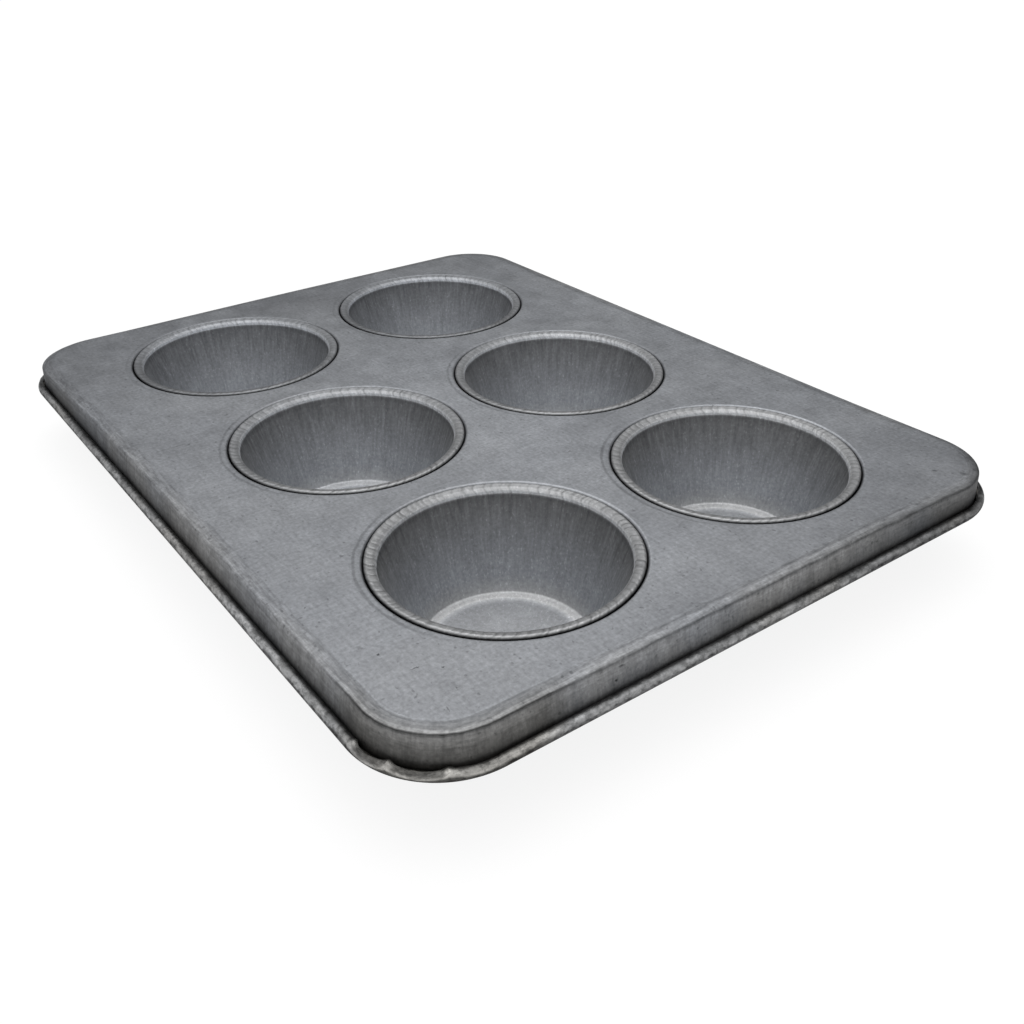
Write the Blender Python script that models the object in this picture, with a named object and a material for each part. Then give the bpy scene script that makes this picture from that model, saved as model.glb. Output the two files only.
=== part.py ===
"""Six-cup muffin pan in aluminised steel: a drawn frame sheet, a wire in its rolled rim,
and six drawn cups locked into its holes. Metres, +Z up. The cups stand on z = 0, the
long side runs along X, and the origin is under the middle of the pan."""

import math

import bmesh
import bpy
from mathutils import Vector

# Stock
SHEET = 0.0007          # thickness of the frame sheet
CUP_WALL = 0.0007       # thickness of a cup
FIT = 0.0003            # clearance between pieces that touch

# Layout of the cups
COLUMNS = ("left", "middle", "right")   # along X
ROWS = ("front", "back")                # along Y
COLUMN_GAP = 0.0156     # sheet between the beads of neighbouring cups, along X
ROW_GAP = 0.0156        # the same, along Y
END_MARGIN = 0.0203     # from the outer beads to the sheet's top edge, along X
SIDE_MARGIN = 0.0333    # the same, along Y

# Cup, measured inside it
CUP_MOUTH_RADIUS = 0.0475
CUP_FLOOR_RADIUS = 0.0341   # where the wall and the floor would meet without a fillet
CUP_DEPTH = 0.0430          # from the flat of the frame sheet down to the cup's floor
FLOOR_FILLET = 0.0032

# Rolled bead round the mouth
BEAD_WIDTH = 0.0047         # from the mouth to the outside of the bead
BEAD_CREST = 0.0028         # from the mouth to the highest line of the bead
BEAD_PROUD = 0.0004         # how far that line stands above the frame sheet
BEAD_ROUND = 0.0018         # how far the bead falls from there before its outside is upright
LIP_DROP = 0.0020           # from the flat of the sheet down to where the cup's wall starts

# Locked seam under each bead
COLLAR_DEPTH = 0.0050       # how far the edge of a hole is turned down
DISH_RADIUS = 0.0025        # the bend from the flat of the sheet into the collar
HOOK_LAP = 0.0017           # how far the cup's edge is folded up outside the collar

# Edge of the frame sheet
CORNER_RADIUS = 0.0300      # at its top edge
SHOULDER_WIDTH = 0.0050     # the strip along the edge that slopes a little
SHOULDER_FALL = 0.0004
EDGE_RADIUS = 0.0014        # the bend from the shoulder into the skirt
SKIRT_FLARE = 0.0020        # how far the skirt leans out on its way down

# Rolled rim
WIRE_RADIUS = 0.0011
WIRE_ROOM = 0.0004          # between the wire and the sheet that is curled round it
WIRE_BUTT_GAP = 0.0010      # between the two ends of the wire
RIM_DROP = 0.0129           # from the flat of the sheet down to the wire's axis
CURL_END = 130              # degrees round the wire at which the curled edge ends
SCALLOP = 26                # degrees by which that edge falls back between its cusps
CUSP_GAPS = 3               # gaps between the cusps round each corner

# Fineness
CUP_STEPS = 28              # sides of a cup, and of the hole that it sits in
FILLET_STEPS = 3
BEAD_STEPS = 3              # from the wall to the bead's crest
FALL_STEPS = 2              # from the crest to the bead's outside
DISH_STEPS = 2
EDGE_STEPS = 2
CURL_STEPS = 7
CORNER_STEPS = 12           # a multiple of CUSP_GAPS
WIRE_STEPS = 2              # gives the wire 8 sides
MERGE = 1e-6                # points closer than this are one
SMOOTH_BELOW = 50           # degrees between faces that are shaded as one surface

# Heights that follow
CUP_FLOOR = CUP_WALL
SHEET_TOP = CUP_FLOOR + CUP_DEPTH
COLLAR_LOW = SHEET_TOP - COLLAR_DEPTH
WIRE_Z = SHEET_TOP - RIM_DROP

# Radii that follow
BEAD_RADIUS = CUP_MOUTH_RADIUS + BEAD_WIDTH
COLLAR_RADIUS = BEAD_RADIUS + FIT                # inside of the turned-down edge
HOOK_RADIUS = COLLAR_RADIUS + SHEET + FIT        # inside of the cup's folded edge
CURL_RADIUS = WIRE_RADIUS + WIRE_ROOM
WIRE_OFFSET = SKIRT_FLARE + CURL_RADIUS          # the wire's axis, outside the top edge

# Layout that follows
PITCH_X = 2 * BEAD_RADIUS + COLUMN_GAP
PITCH_Y = 2 * BEAD_RADIUS + ROW_GAP
TOP_LENGTH = (len(COLUMNS) - 1) * PITCH_X + 2 * (BEAD_RADIUS + END_MARGIN)
TOP_WIDTH = (len(ROWS) - 1) * PITCH_Y + 2 * (BEAD_RADIUS + SIDE_MARGIN)


def clear_scene():
    for old in list(bpy.data.objects):
        bpy.data.objects.remove(old, do_unlink=True)


def steel(name, colour, roughness):
    """A bare metal finish."""
    material = bpy.data.materials.new(name)
    material.use_nodes = True
    shader = material.node_tree.nodes["Principled BSDF"]
    shader.inputs["Base Color"].default_value = (*colour, 1.0)
    shader.inputs["Metallic"].default_value = 1.0
    shader.inputs["Roughness"].default_value = roughness
    material.diffuse_color = (*colour, 1.0)
    return material


def place(name, data, material):
    """Puts a mesh or a curve in the scene as one named piece."""
    piece = bpy.data.objects.new(name, data)
    bpy.context.scene.collection.objects.link(piece)
    data.materials.append(material)
    return piece


def sheet_metal(name, bm, thickness, material):
    """Makes the visible surface a piece, with its thickness on the hidden side."""
    bmesh.ops.remove_doubles(bm, verts=bm.verts, dist=MERGE)
    bmesh.ops.recalc_face_normals(bm, faces=bm.faces)
    flattest = max(bm.faces, key=lambda face: abs(face.normal.z))
    if flattest.normal.z < 0:
        bmesh.ops.reverse_faces(bm, faces=bm.faces)
    mesh = bpy.data.meshes.new(name)
    bm.to_mesh(mesh)
    bm.free()
    mesh.shade_smooth()
    mesh.set_sharp_from_angle(angle=math.radians(SMOOTH_BELOW))
    piece = place(name, mesh, material)
    wall = piece.modifiers.new("wall", "SOLIDIFY")
    wall.thickness = thickness
    wall.offset = -1.0
    wall.use_even_offset = True
    return piece


def oval(centre, across, up, start, end, steps):
    """Points along part of an ellipse in an (across, up) plane, with its angles in degrees."""
    turns = [math.radians(start + (end - start) * k / steps) for k in range(steps + 1)]
    return [(centre[0] + across * math.cos(a), centre[1] + up * math.sin(a)) for a in turns]


def arc(centre, radius, start, end, steps):
    """Points along an arc, in the same way."""
    return oval(centre, radius, radius, start, end, steps)


def turned(bm, profile, centre=(0.0, 0.0)):
    """Spins a profile of (radius, height) points about an upright axis at the centre."""
    points = [bm.verts.new((centre[0] + radius, centre[1], z)) for radius, z in profile]
    edges = [bm.edges.new(pair) for pair in zip(points, points[1:])]
    bmesh.ops.spin(bm, geom=points + edges, cent=(*centre, 0.0), axis=(0, 0, 1),
                   angle=2 * math.pi, steps=CUP_STEPS, use_merge=True)


def cup_places():
    """The name and the centre of each cup, row by row."""
    for j, row in enumerate(ROWS):
        for i, column in enumerate(COLUMNS):
            x = (i - (len(COLUMNS) - 1) / 2) * PITCH_X
            y = (j - (len(ROWS) - 1) / 2) * PITCH_Y
            yield f"cup_{row}_{column}", (x, y)


def cup_profile():
    """The cup's visible side as (radius, height): from the middle of its floor, up the wall,
    over the bead, down inside the collar and up again outside it."""
    lip = SHEET_TOP - LIP_DROP
    crest = SHEET_TOP + BEAD_PROUD
    lean = math.atan2(CUP_MOUTH_RADIUS - CUP_FLOOR_RADIUS, lip - CUP_FLOOR)
    reach = FLOOR_FILLET * math.tan((math.pi / 2 - lean) / 2)
    fillet = arc((CUP_FLOOR_RADIUS - reach, CUP_FLOOR + FLOOR_FILLET), FLOOR_FILLET,
                 -90, -math.degrees(lean), FILLET_STEPS)
    ridge = CUP_MOUTH_RADIUS + BEAD_CREST
    bead = oval((ridge, lip), BEAD_CREST, crest - lip, 180, 90, BEAD_STEPS)
    fall = oval((ridge, crest - BEAD_ROUND), BEAD_RADIUS - ridge, BEAD_ROUND, 90, 0, FALL_STEPS)
    hook_low = COLLAR_LOW - FIT
    hook = [
        (BEAD_RADIUS, hook_low),
        (HOOK_RADIUS, hook_low),
        (HOOK_RADIUS, COLLAR_LOW + HOOK_LAP),
    ]
    return [(0.0, CUP_FLOOR)] + fillet + bead + fall[1:] + hook


def make_cup(name, centre, material):
    bm = bmesh.new()
    turned(bm, cup_profile())
    cup = sheet_metal(name, bm, CUP_WALL, material)
    cup.location = (*centre, 0.0)
    return cup


def stations():
    """Stops round the sheet's edge, anticlockwise: the corner's centre, the way out from it,
    and how far round that corner the stop lies, from 0 to 1."""
    across = TOP_LENGTH / 2 - CORNER_RADIUS
    along = TOP_WIDTH / 2 - CORNER_RADIUS
    for corner, (side_x, side_y) in enumerate(((1, 1), (-1, 1), (-1, -1), (1, -1))):
        centre = Vector((side_x * across, side_y * along, 0.0))
        for k in range(CORNER_STEPS + 1):
            turn = k / CORNER_STEPS
            angle = math.radians(90 * (corner + turn))
            yield centre, Vector((math.cos(angle), math.sin(angle), 0.0)), turn


def beyond_edge(centre, outwards, offset, z):
    """The point that lies the given distance outside the sheet's top edge."""
    return centre + outwards * (CORNER_RADIUS + offset) + Vector((0, 0, z))


def sheet_section(turn):
    """The frame sheet's visible side as (offset, height), from the flat of the sheet to the
    end of the curl. The curl's edge falls back between its cusps round a corner."""
    bend = (-EDGE_RADIUS, SHEET_TOP - SHOULDER_FALL - EDGE_RADIUS)
    shoulder_slope = math.degrees(math.atan2(SHOULDER_FALL, SHOULDER_WIDTH - EDGE_RADIUS))
    skirt_lean = math.degrees(math.atan2(SKIRT_FLARE, bend[1] - WIRE_Z))
    curl_end = 360 + CURL_END - SCALLOP * abs(math.sin(math.pi * CUSP_GAPS * turn))
    return (
        [(-SHOULDER_WIDTH, SHEET_TOP)]
        + arc(bend, EDGE_RADIUS, 90 - shoulder_slope, skirt_lean, EDGE_STEPS)
        + arc((WIRE_OFFSET, WIRE_Z), CURL_RADIUS, 180, curl_end, CURL_STEPS)
    )


def make_frame_sheet(material):
    bm = bmesh.new()
    rows = []
    for centre, outwards, turn in stations():
        rows.append([bm.verts.new(beyond_edge(centre, outwards, *point))
                     for point in sheet_section(turn)])
    loops = []
    for ring in zip(*rows):
        loops.append([bm.edges.new(pair) for pair in zip(ring, ring[1:] + ring[:1])])
    for inner, outer in zip(loops, loops[1:]):
        bmesh.ops.bridge_loops(bm, edges=inner + outer)
    for _, centre in cup_places():
        dish = arc((COLLAR_RADIUS + DISH_RADIUS, SHEET_TOP - DISH_RADIUS), DISH_RADIUS,
                   90, 180, DISH_STEPS)
        turned(bm, dish + [(COLLAR_RADIUS, COLLAR_LOW)], centre)
    bmesh.ops.remove_doubles(bm, verts=bm.verts, dist=MERGE)
    flat = [edge for edge in bm.edges if edge.is_boundary
            and all(abs(end.co.z - SHEET_TOP) < MERGE for end in edge.verts)]
    bmesh.ops.triangle_fill(bm, edges=flat, use_beauty=True, normal=(0, 0, 1))
    return sheet_metal("frame_sheet", bm, SHEET, material)


def make_rim_wire(material):
    """A round wire bent to the rim, with its two ends butted behind the back row of cups."""
    stops = list(stations())
    stops = stops[CORNER_STEPS + 1:] + stops[:CORNER_STEPS + 1]
    bent = [beyond_edge(centre, outwards, WIRE_OFFSET, WIRE_Z) for centre, outwards, _ in stops]
    half_gap = WIRE_BUTT_GAP / 2
    first = Vector((-half_gap, bent[0].y, WIRE_Z))
    last = Vector((half_gap, bent[-1].y, WIRE_Z))
    line = [first] + bent + [last]
    curve = bpy.data.curves.new("rim_wire", "CURVE")
    curve.dimensions = "3D"
    curve.twist_mode = "Z_UP"
    curve.bevel_depth = WIRE_RADIUS
    curve.bevel_resolution = WIRE_STEPS
    curve.use_fill_caps = True
    spline = curve.splines.new("POLY")
    spline.points.add(len(line) - 1)
    for point, bend in zip(spline.points, line):
        point.co = (*bend, 1.0)
    return place("rim_wire", curve, material)


def main():
    clear_scene()
    make_frame_sheet(steel("aluminised_sheet", (0.26, 0.27, 0.28), 0.45))
    make_rim_wire(steel("steel_wire", (0.32, 0.32, 0.32), 0.40))
    cup_steel = steel("aluminised_cup", (0.28, 0.29, 0.29), 0.40)
    for name, centre in cup_places():
        make_cup(name, centre, cup_steel)


main()
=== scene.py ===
# %% [markdown]
# A six-cup muffin pan in aluminised steel.
#
# The pan is one drawn sheet with six holes, six drawn cups locked into them, and a wire in the
# rolled rim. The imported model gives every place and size. This script gives the pieces their
# fine surfaces and their metal. First it loads that model and keeps the box round it, because
# nothing that is made here may reach outside it.

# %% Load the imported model
import math
import random

import bmesh
import bpy
from mathutils import Matrix, Vector, noise


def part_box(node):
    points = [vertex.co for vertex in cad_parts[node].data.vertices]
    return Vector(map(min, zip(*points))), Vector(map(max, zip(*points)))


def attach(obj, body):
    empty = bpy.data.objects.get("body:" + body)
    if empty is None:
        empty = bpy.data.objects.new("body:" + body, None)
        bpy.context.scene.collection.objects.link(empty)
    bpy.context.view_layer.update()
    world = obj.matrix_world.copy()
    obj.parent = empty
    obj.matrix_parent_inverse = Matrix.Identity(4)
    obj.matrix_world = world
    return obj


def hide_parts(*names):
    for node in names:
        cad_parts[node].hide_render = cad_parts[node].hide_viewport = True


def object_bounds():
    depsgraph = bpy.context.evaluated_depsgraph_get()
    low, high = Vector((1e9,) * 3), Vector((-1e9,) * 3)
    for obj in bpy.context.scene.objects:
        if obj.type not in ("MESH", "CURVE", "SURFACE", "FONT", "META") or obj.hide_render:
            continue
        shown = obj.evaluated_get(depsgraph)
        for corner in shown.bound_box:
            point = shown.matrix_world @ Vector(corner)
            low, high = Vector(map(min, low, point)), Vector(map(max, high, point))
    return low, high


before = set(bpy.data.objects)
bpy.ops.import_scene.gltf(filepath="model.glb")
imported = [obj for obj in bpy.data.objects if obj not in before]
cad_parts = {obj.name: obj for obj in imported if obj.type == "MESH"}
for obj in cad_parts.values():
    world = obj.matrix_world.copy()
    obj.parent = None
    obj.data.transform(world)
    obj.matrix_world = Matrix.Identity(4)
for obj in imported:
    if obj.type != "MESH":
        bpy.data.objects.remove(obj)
CAD_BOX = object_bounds()
MM = 0.001
print("packed model:", [tuple(round(side / MM, 1) for side in corner) for corner in CAD_BOX])

# %% [markdown]
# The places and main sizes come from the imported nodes: the middle of each cup is the middle of
# its node's box, and the sheet's flat is the top of its node. What the boxes can't tell, such as
# the width of a bead or the radius of a bend, is written down here as a real size.

# %% Places and sizes
CUPS = sorted(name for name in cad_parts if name.startswith("cup_"))
SHEET_LOW, SHEET_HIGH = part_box("frame_sheet")
SHEET_TOP = SHEET_HIGH.z

SHEET = 0.7 * MM              # thickness of the frame sheet and of a cup's wall
MOUTH_RADIUS = 47.5 * MM      # inside a cup's mouth
FLOOR_RADIUS = 34.1 * MM      # where its wall and floor would meet without a fillet
BEAD_WIDTH = 4.7 * MM         # from the mouth to the outside of the bead
LIP_DROP = 2.0 * MM           # from the flat of the sheet down to the top of the cup's wall
FIT = 0.3 * MM                # clearance between a cup and its hole
COLLAR_DEPTH = 5.0 * MM       # how far the edge of a hole is turned down
DISH_RADIUS = 1.4 * MM        # the bend into that collar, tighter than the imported 2.5 mm
DISH_FLAT = 4.5 * MM          # the flat strip round it that was pressed with it
HOOK_LAP = 1.7 * MM           # how far a cup's edge is folded up outside the collar

CORNER_RADIUS = 30.0 * MM
SHOULDER_WIDTH = 5.0 * MM     # the strip along the sheet's edge that slopes a little
SHOULDER_FALL = 0.4 * MM
EDGE_RADIUS = 1.4 * MM        # the bend from the shoulder into the skirt
SKIRT_FLARE = 2.0 * MM
CURL_RADIUS = 1.5 * MM        # inside of the rolled rim
RIM_DROP = 12.9 * MM          # from the flat of the sheet down to the wire's axis
CURL_END = 130                # degrees round the wire at which the rolled edge ends

BEAD_RADIUS = MOUTH_RADIUS + BEAD_WIDTH
COLLAR_RADIUS = BEAD_RADIUS + FIT
HOOK_RADIUS = COLLAR_RADIUS + SHEET + FIT
COLLAR_LOW = SHEET_TOP - COLLAR_DEPTH
CUP_FLOOR = SHEET
WIRE_OFFSET = SKIRT_FLARE + CURL_RADIUS
WIRE_Z = SHEET_TOP - RIM_DROP
HALF_LENGTH = SHEET_HIGH.x - WIRE_OFFSET - CURL_RADIUS - SHEET   # to the sheet's top edge
HALF_WIDTH = SHEET_HIGH.y - WIRE_OFFSET - CURL_RADIUS - SHEET


def middle_of(node):
    low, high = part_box(node)
    return (low + high) / 2


print("top edge:", round(2 * HALF_LENGTH / MM, 1), "x", round(2 * HALF_WIDTH / MM, 1), "mm;",
      "cups at", {name: tuple(round(c / MM) for c in middle_of(name)[:2]) for name in CUPS})

# %% [markdown]
# The camera stands close to the pan's front right corner, so the near corner looks big and the
# far one small. It could be placed by hand until the outline fits. Here it is aimed from a point
# on the pan, an azimuth, an elevation and a distance, which is how someone would describe the
# shot, and a small roll tilts the horizon as a hand-held camera does.

# %% Camera
AIM = Vector((97.1, -40.1, 42.7)) * MM
AZIMUTH, ELEVATION, ROLL = 54.29, 30.88, -0.88     # degrees
DISTANCE = 422.9 * MM
LENS = 37.79                                       # on a 36 mm sensor


def look_from(azimuth, elevation):
    """The way from the aim to a viewer."""
    a, e = math.radians(azimuth), math.radians(elevation)
    return Vector((math.sin(a) * math.cos(e), -math.cos(a) * math.cos(e), math.sin(e)))


def make_camera():
    data = bpy.data.cameras.new("camera")
    data.lens = LENS
    data.sensor_width = 36.0
    data.clip_start, data.clip_end = 0.01, 100.0
    camera = bpy.data.objects.new("camera", data)
    bpy.context.scene.collection.objects.link(camera)
    back = look_from(AZIMUTH, ELEVATION)
    across = Vector((math.cos(math.radians(AZIMUTH)), math.sin(math.radians(AZIMUTH)), 0.0))
    turn = Matrix((across, back.cross(across), back)).transposed()
    roll = Matrix.Rotation(math.radians(ROLL), 3, "Z")
    camera.matrix_world = Matrix.Translation(AIM + back * DISTANCE) @ (turn @ roll).to_4x4()
    bpy.context.scene.camera = camera
    return camera


camera = make_camera()
print("camera at", tuple(round(c / MM) for c in camera.matrix_world.translation), "mm")

# %% [markdown]
# Every finish is a small tree of nodes. One function adds a node with its settings and its
# links, so that a material reads as a list of what feeds what, and one function turns a
# colour as a painter would pick it, in sRGB hex, into the linear numbers that Blender mixes.

# %% Helpers for materials
def linear(hex_colour):
    """An sRGB hex colour as linear RGBA."""
    parts = [int(hex_colour[k:k + 2], 16) / 255 for k in (1, 3, 5)]
    return (*(p / 12.92 if p <= 0.04045 else ((p + 0.055) / 1.055) ** 2.4 for p in parts), 1.0)


def add(tree, kind, sockets=None, **settings):
    """Adds a node. A socket takes a number, a colour, another node's output, or a whole node,
    which stands for its first output."""
    made = tree.nodes.new("ShaderNode" + kind)
    for name, value in settings.items():
        setattr(made, name, value)
    for key, value in (sockets or {}).items():
        if isinstance(value, bpy.types.Node):
            value = value.outputs[0]
        if isinstance(value, bpy.types.NodeSocket):
            tree.links.new(value, made.inputs[key])
        else:
            made.inputs[key].default_value = value
    return made


def new_material(name):
    """An empty material and its tree."""
    material = bpy.data.materials.new(name)
    material.use_nodes = True
    material.node_tree.nodes.clear()
    return material, material.node_tree


def per(size_mm):
    """The texture scale at which a pattern repeats about once in this many millimetres."""
    return 1 / (size_mm * MM)


print("mid grey, #808080, is", round(linear("#808080")[0], 3), "in linear light")

# %% [markdown]
# Helpers for shapes. A pressed sheet is drawn as its visible side only. The section is a line
# of points with, for each, how far it lies along the section: the metal's finish changes from
# flat to bend to skirt, and that length is what the finish reads. Each point keeps it in a
# layer named run, which spin and extrude copy along.

# %% Points of a section
def oval(centre, across, up, start, end, steps):
    """Points along part of an ellipse, with its angles in degrees."""
    turns = [math.radians(start + (end - start) * k / steps) for k in range(steps + 1)]
    return [(centre[0] + across * math.cos(a), centre[1] + up * math.sin(a)) for a in turns]


def arc(centre, radius, start, end, steps):
    """Points along part of a circle."""
    return oval(centre, radius, radius, start, end, steps)


def between(start, end, steps):
    """Points from start up to, but not at, the end."""
    return [tuple(a + (b - a) * k / steps for a, b in zip(start, end)) for k in range(steps)]


def with_run(points, first=0.0):
    """Each point with its length along the section."""
    made, run = [], first
    for k, point in enumerate(points):
        if k:
            run += math.dist(point, points[k - 1])
        made.append((*point, run))
    return made


print("a quarter turn in two steps:",
      [tuple(round(c, 2) for c in point) for point in arc((0, 0), 1, 0, 90, 2)])


# %% Lines and turned shapes
def draw_line(bm, points):
    """A chain of edges through (place, run) pairs."""
    layer = bm.verts.layers.float.get("run") or bm.verts.layers.float.new("run")
    made = []
    for place, run in points:
        vert = bm.verts.new(place)
        vert[layer] = run
        made.append(vert)
    return made + [bm.edges.new(pair) for pair in zip(made, made[1:])]


def turn_round(bm, line, steps, sectors=12):
    """Spins a line about the Z axis: one sector in fine steps, then copies of that sector."""
    whole = 2 * math.pi
    centre = {"cent": (0, 0, 0), "axis": (0, 0, 1)}
    bmesh.ops.spin(bm, geom=line, angle=whole / sectors, steps=steps // sectors, **centre)
    bmesh.ops.spin(bm, geom=bm.verts[:] + bm.edges[:] + bm.faces[:], use_duplicate=True,
                   angle=whole * (sectors - 1) / sectors, steps=sectors - 1, **centre)
    bmesh.ops.remove_doubles(bm, verts=bm.verts, dist=0.001 * MM)


tube = bmesh.new()
turn_round(tube, draw_line(tube, [((0.1, 0.0, 0.0), 0.0), ((0.1, 0.0, 0.1), 0.1)]), steps=24)
print("a line turned round in 24 steps has", len(tube.faces), "faces")
tube.free()

# %% [markdown]
# A die leaves the same thickness nearly everywhere. The Solidify modifier gives a surface just
# that, below its visible side. Its result is stored as the piece's own mesh, so that what is
# exported and measured is the real wall. Edges that turn sharply stay crisp.

# %% Pressed pieces
def as_mesh(bm, name):
    """A new mesh with what the bmesh holds, which is freed."""
    mesh = bpy.data.meshes.new(name)
    bm.to_mesh(mesh)
    bm.free()
    return mesh


def keep_vector(mesh, name, values):
    """Stores a vector on each point of a mesh, for a material to read."""
    layer = mesh.attributes.new(name, "FLOAT_VECTOR", "POINT")
    layer.data.foreach_set("vector", [c for value in values for c in value])


def pressed(name, mesh, material, sharp_above=40):
    """Gives a visible side its thickness below, and makes it a finished piece."""
    piece = bpy.data.objects.new(name, mesh)
    bpy.context.scene.collection.objects.link(piece)
    wall = piece.modifiers.new("wall", "SOLIDIFY")
    wall.thickness = SHEET
    wall.offset = -1.0
    wall.use_even_offset = True
    graph = bpy.context.evaluated_depsgraph_get()
    whole = bpy.data.meshes.new_from_object(piece.evaluated_get(graph), depsgraph=graph,
                                            preserve_all_data_layers=True)
    piece.modifiers.clear()
    piece.data = whole
    whole.name = name
    whole.shade_smooth()
    whole.set_sharp_from_angle(angle=math.radians(sharp_above))
    whole.materials.clear()
    whole.materials.append(material)
    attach(piece, "root")
    return piece


print("every pressed wall is", round(SHEET / MM, 1), "mm thick")

# %% [markdown]
# The sheet is aluminised steel: cold-rolled steel dipped in molten aluminium. Its skin is a dull
# silver grey with a fine crystal mottle, and baking has taken the shine off. A photo texture would
# be quick, but it couldn't follow the bends. Noise at several sizes makes the mottle, and the run
# along the section sets the level of the shoulder, the bend, the skirt and the curl: painted
# highlights on the bends and on top of the rim, painted shade down the skirt and into the crevice
# under the rim, and some wear.

# %% Levels along the metal
RUN_BEND = SHOULDER_WIDTH - EDGE_RADIUS
RUN_SKIRT = RUN_BEND + EDGE_RADIUS * math.pi / 2
RUN_CURL = RUN_SKIRT + RIM_DROP - EDGE_RADIUS
RUN_END = RUN_CURL + CURL_RADIUS * math.radians(180 + CURL_END)


def level_of(tree, value, stops, unit=1.0):
    """A grey level read off a line through (value, level) pairs. For lengths the unit is MM."""
    first, last = stops[0][0], stops[-1][0]
    share = add(tree, "MapRange", {"Value": value, "From Min": first * unit,
                                   "From Max": last * unit})
    line = add(tree, "ValToRGB", {"Fac": share})
    ramp = line.color_ramp
    while len(ramp.elements) < len(stops):
        ramp.elements.new(0.5)
    for element, (at, level) in zip(ramp.elements, stops):
        element.position = (at - first) / (last - first)
        element.color = (level, level, level, 1.0)
    return line


def times(tree, *values):
    """The product of several levels."""
    made = values[0]
    for value in values[1:]:
        made = add(tree, "Math", {0: made, 1: value}, operation="MULTIPLY")
    return made


def pattern(tree, place, size, detail, rough=0.5, stretch=(1, 1, 1)):
    """Noise in patches of about this many millimetres, drawn out where the stretch is below 1.
    It keeps mostly between 0.3 and 0.7."""
    place = add(tree, "Mapping", {"Vector": place, "Scale": stretch})
    return add(tree, "TexNoise", {"Vector": place, "Scale": per(size), "Detail": detail,
                                  "Roughness": rough})


print("metal from the flat to the rim:", [round(run / MM, 1) for run in
                                          (RUN_BEND, RUN_SKIRT, RUN_CURL, RUN_END)], "mm")

# %% [markdown]
# The light and shade of the edge are painted into tables, one for each part of the edge: how
# bright the metal is at each length along the section. They hold painted highlights on the bends
# and on top of the rolled rim, painted shade down the skirt and into the crevices, and some wear.
# One noise over the whole edge would be less work, but this light and shade has its place. The
# shoulder ends at 3.6 mm, the bend at 5.8, the skirt at 17.3 and the curl at 25.4. In a hole the
# lengths run down from -20: a flat strip to -24.5, the bend to -26.7, and the collar.

# %% Levels of the frame sheet
CLEAN_METAL = "#b5b8bd"       # the bare metal at its full level; all the rest is a share of this
WARM_METAL = "#bab8b4"        # the same with a film of baked grease

# painted highlights and shade, with some wear, along the edge in general, the right end, the back
# corner of that end, and the near corner
LEFT_LEVELS = [(-3.0, 0.54), (-1.2, 0.52), (-0.6, 0.46), (0.4, 0.48), (2.6, 0.47), (3.4, 0.56),
               (4.0, 0.52), (4.6, 0.52), (5.3, 0.53), (6.2, 0.50), (7.2, 0.43), (8.0, 0.48),
               (11.0, 0.36), (14.0, 0.26), (16.0, 0.19), (17.0, 0.15)]
RIGHT_LEVELS = [(-3.0, 0.54), (-0.6, 0.53), (0.2, 0.46), (0.75, 0.36), (1.3, 0.46), (1.9, 0.57),
                (2.9, 0.58), (3.6, 0.52), (4.5, 0.44), (5.0, 0.34), (5.4, 0.38), (6.3, 0.54),
                (8.5, 0.45), (11.0, 0.38), (14.0, 0.31), (16.2, 0.31), (17.0, 0.27)]
FAR_LEVELS = [(-3.0, 0.54), (1.2, 0.53), (2.2, 0.49), (2.9, 0.47), (3.6, 0.47), (4.3, 0.34),
              (4.7, 0.30), (5.2, 0.44), (6.3, 0.50), (8.5, 0.43), (11.0, 0.32), (14.0, 0.20),
              (17.0, 0.12)]
CORNER_LEVELS = [(-3.0, 0.54), (-1.6, 0.55), (-1.0, 0.60), (-0.5, 0.42), (0.0, 0.36),
                 (1.2, 0.38), (2.6, 0.33), (3.0, 0.46), (3.3, 0.50), (3.6, 0.44), (3.95, 0.46),
                 (4.35, 0.19), (4.6, 0.08), (4.95, 0.24), (5.6, 0.38), (7.0, 0.40),
                 (9.5, 0.25), (14.0, 0.19), (16.0, 0.12)]
# painted highlight on top of the rolled rim and painted shade under it, in general and at the near
# corner
CURL_LEVELS = [(17.3, 0.06), (20.8, 0.32), (21.9, 0.34), (22.2, 0.42), (22.45, 0.66),
               (22.85, 0.76), (23.2, 0.70), (23.5, 0.54), (23.8, 0.34), (24.3, 0.20),
               (24.9, 0.20), (25.4, 0.34)]
CORNER_CURL = [(17.3, 0.06), (21.4, 0.13), (22.3, 0.16), (22.6, 0.38), (22.9, 0.78),
               (23.2, 0.84), (23.6, 0.56), (24.1, 0.30), (24.8, 0.16), (25.4, 0.08)]

# painted light and shade on the bend into a hole and the gap beside the bead: the gap is light
# grey on one side and dark, in shade, on the other
LIGHT_GAP_LEVELS = [(-30.3, 0.50), (-26.6, 0.54), (-26.1, 0.66), (-25.6, 0.72), (-25.1, 0.84),
                 (-24.8, 0.92), (-24.4, 1.0), (-22.0, 1.0)]
DARK_GAP_LEVELS = [(-30.3, 0.04), (-26.8, 0.04), (-26.4, 0.06), (-26.1, 0.13), (-25.8, 0.30),
               (-25.5, 0.62), (-25.1, 1.0), (-24.8, 1.04), (-24.3, 1.0), (-22.0, 1.0)]
DARK_GAP_SIDE = (0.81, -0.58, 0.0)        # the gap round each cup is painted dark, in shade, on this side of its hole
SHADED_DISH_SIDE = (-0.31, -0.95, 0.0)    # painted shade on the dish slope falls on this side of each hole
NEAR_CORNER = (176 * MM, -121 * MM, 40 * MM)

print("wear: the brightest share on the edge is",
      max(level for _, level in LEFT_LEVELS + RIGHT_LEVELS + CURL_LEVELS + CORNER_CURL))
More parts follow.
